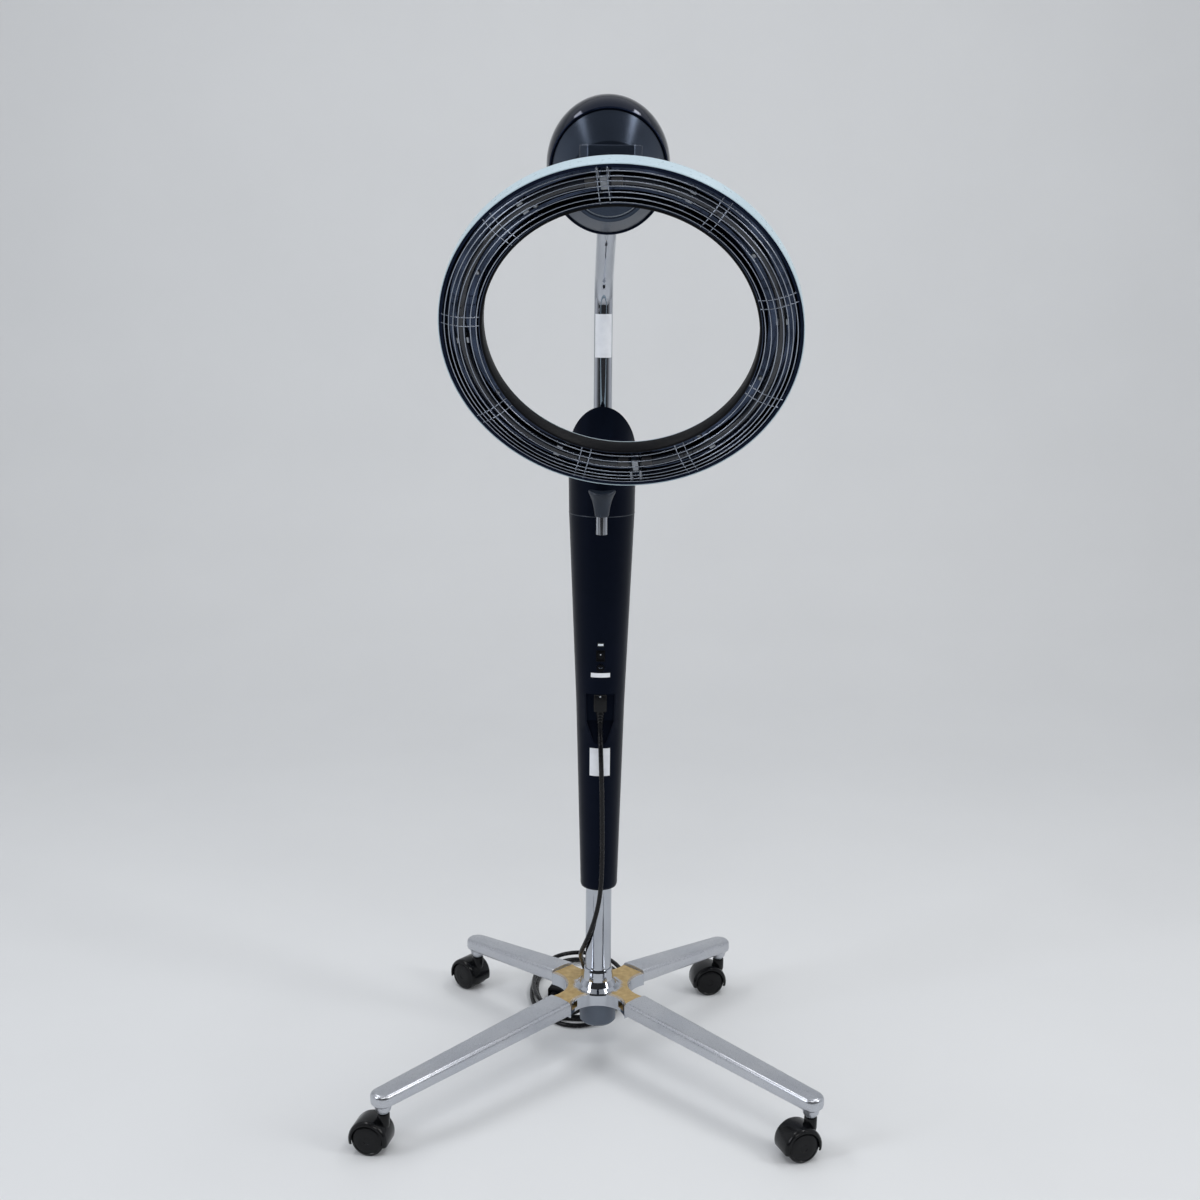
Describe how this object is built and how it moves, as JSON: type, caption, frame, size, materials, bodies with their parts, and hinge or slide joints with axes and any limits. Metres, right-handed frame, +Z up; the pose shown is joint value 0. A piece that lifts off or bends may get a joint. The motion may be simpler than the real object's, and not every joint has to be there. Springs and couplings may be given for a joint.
{
  "type": "hair color processor",
  "caption": "Salon hair colour processor: guarded heater ring on a turning arm and tilting head, held by a bent tube in a tapered column on a four-leg base with twin-wheel casters.",
  "frame": {"origin": "on the floor, on the axis of the column", "axes": "+Z up along the column; -Y is the front, towards which the heater ring faces; +X to the right of someone who looks at the front"},
  "size_m": [0.6969, 0.8012, 1.513],
  "materials": {
    "polished_chrome": "mirror polished chrome plate",
    "satin_aluminium": "satin lacquered casting",
    "grey_plastic": "matt moulded grey",
    "zinc_steel": "zinc-plated",
    "satin_black_plastic": "satin moulded black",
    "matte_black_plastic": "matt moulded black",
    "gloss_black_plastic": "high gloss",
    "label_film": "plain white film",
    "display_glass": "smoked window",
    "black_cord_rubber": "satin cord sheath",
    "white_enamel": "semi-gloss white enamel",
    "dark_polished_steel": "dark polished reflector",
    "quartz_glass": "smoked quartz",
    "motor_steel": "dull grey"
  },
  "bodies": {
    "stand": {"hub": "polished_chrome", "lower_cap": "grey_plastic", "hub_screws": "zinc_steel", "leg_front_right": "satin_aluminium", "leg_front_left": "satin_aluminium", "leg_rear_left": "satin_aluminium", "leg_rear_right": "satin_aluminium", "caster_stems": "zinc_steel", "post": "polished_chrome", "column_foot_ring": "satin_black_plastic", "column_cover": "satin_black_plastic", "column_cap": "satin_black_plastic", "inlet_pocket": "satin_black_plastic", "power_inlet": "matte_black_plastic", "switch_case": "matte_black_plastic", "blank_labels": "label_film", "indicator_lens": "display_glass", "power_board": "matte_black_plastic", "control_panel": "matte_black_plastic", "display_window": "display_glass", "cord_plug": "matte_black_plastic", "power_cord": "black_cord_rubber", "cord_coil": "black_cord_rubber", "wall_plug": "matte_black_plastic"},
    "caster_front_right": {"caster_hood_front_right": "satin_black_plastic", "caster_axle_front_right": "zinc_steel"},
    "wheels_front_right": {"caster_wheels_front_right": "satin_black_plastic"},
    "caster_front_left": {"caster_hood_front_left": "satin_black_plastic", "caster_axle_front_left": "zinc_steel"},
    "wheels_front_left": {"caster_wheels_front_left": "satin_black_plastic"},
    "caster_rear_left": {"caster_hood_rear_left": "satin_black_plastic", "caster_axle_rear_left": "zinc_steel"},
    "wheels_rear_left": {"caster_wheels_rear_left": "satin_black_plastic"},
    "caster_rear_right": {"caster_hood_rear_right": "satin_black_plastic", "caster_axle_rear_right": "zinc_steel"},
    "wheels_rear_right": {"caster_wheels_rear_right": "satin_black_plastic"},
    "swivel": {"swivel_bush": "satin_black_plastic"},
    "arm": {"arm_tube": "polished_chrome", "neck_block": "satin_black_plastic", "tube_label": "label_film"},
    "head": {"head_hood": "gloss_black_plastic", "front_cover": "satin_black_plastic", "head_frame": "zinc_steel", "tilt_pin": "zinc_steel", "gear_motor": "motor_steel"},
    "ring": {"turn_shaft": "zinc_steel", "ring_arm": "zinc_steel", "ring_shell": "white_enamel", "ring_reflector": "dark_polished_steel", "heater_tubes": "quartz_glass", "heater_clips": "zinc_steel", "guard_rings": "zinc_steel", "guard_bars": "zinc_steel"},
    "clamp": {"clamp_lever": "polished_chrome", "clamp_knob": "satin_black_plastic"},
    "power_switch": {"power_switch": "matte_black_plastic"},
    "breaker_button": {"breaker_button": "matte_black_plastic"},
    "start_button": {"start_button": "matte_black_plastic"},
    "plus_button": {"plus_button": "matte_black_plastic"},
    "minus_button": {"minus_button": "matte_black_plastic"}
  },
  "joints": [
    {"name": "caster_swivel_front_right", "type": "hinge", "parent": "stand", "child": "caster_front_right", "pos_m": [0.31429, -0.32206, 0.06], "axis": [0, 0, 1], "continuous": true},
    {"name": "wheel_roll_front_right", "type": "hinge", "parent": "caster_front_right", "child": "wheels_front_right", "pos_m": [0.29643, -0.32856, 0.025], "axis": [0.342, -0.9397, 0], "continuous": true},
    {"name": "caster_swivel_front_left", "type": "hinge", "parent": "stand", "child": "caster_front_left", "pos_m": [-0.31429, -0.32206, 0.06], "axis": [0, 0, 1], "continuous": true},
    {"name": "wheel_roll_front_left", "type": "hinge", "parent": "caster_front_left", "child": "wheels_front_left", "pos_m": [-0.33287, -0.31811, 0.025], "axis": [-0.2079, -0.9781, 0], "continuous": true},
    {"name": "caster_swivel_rear_left", "type": "hinge", "parent": "stand", "child": "caster_rear_left", "pos_m": [-0.21511, 0.22043, 0.06], "axis": [0, 0, 1], "continuous": true},
    {"name": "wheel_roll_rear_left", "type": "hinge", "parent": "caster_rear_left", "child": "wheels_rear_left", "pos_m": [-0.22967, 0.23265, 0.025], "axis": [-0.6428, -0.766, 0], "continuous": true},
    {"name": "caster_swivel_rear_right", "type": "hinge", "parent": "stand", "child": "caster_rear_right", "pos_m": [0.21511, 0.22043, 0.06], "axis": [0, 0, 1], "continuous": true},
    {"name": "wheel_roll_rear_right", "type": "hinge", "parent": "caster_rear_right", "child": "wheels_rear_right", "pos_m": [0.1964, 0.21713, 0.025], "axis": [0.1736, -0.9848, 0], "continuous": true},
    {"name": "arm_swivel", "type": "hinge", "parent": "stand", "child": "swivel", "pos_m": [0, 0, 0.88], "axis": [0, 0, 1], "range_deg": [-90, 90]},
    {"name": "arm_slide", "type": "slide", "parent": "swivel", "child": "arm", "axis": [0, 0, 1], "range_m": [-0.12, 0.15]},
    {"name": "head_tilt", "type": "hinge", "parent": "arm", "child": "head", "pos_m": [0.00384, -0.14655, 1.398], "axis": [0.9997, 0.0262, 0], "range_deg": [-12, 12]},
    {"name": "ring_turn", "type": "hinge", "parent": "head", "child": "ring", "pos_m": [0.00746, -0.2849, 1.385], "axis": [0.0168, -0.6426, -0.766], "range_deg": [-170, 170]},
    {"name": "clamp_turn", "type": "hinge", "parent": "stand", "child": "clamp", "pos_m": [0, -0.06, 0.892], "axis": [0, -1, 0], "range_deg": [-90, 90]},
    {"name": "power_switch_rock", "type": "hinge", "parent": "stand", "child": "power_switch", "pos_m": [0, -0.03757, 0.686], "axis": [1, 0, 0], "range_deg": [-14, 0]},
    {"name": "breaker_push", "type": "slide", "parent": "stand", "child": "breaker_button", "axis": [0, 1, 0], "range_m": [0, 0.002], "stiffness_N_per_m": 500},
    {"name": "start_push", "type": "slide", "parent": "stand", "child": "start_button", "axis": [0, -0.8358, -0.549], "range_m": [0, 0.001], "stiffness_N_per_m": 500},
    {"name": "plus_push", "type": "slide", "parent": "stand", "child": "plus_button", "axis": [0, -0.8358, -0.549], "range_m": [0, 0.001], "stiffness_N_per_m": 500},
    {"name": "minus_push", "type": "slide", "parent": "stand", "child": "minus_button", "axis": [0, -0.8358, -0.549], "range_m": [0, 0.001], "stiffness_N_per_m": 500}
  ]
}
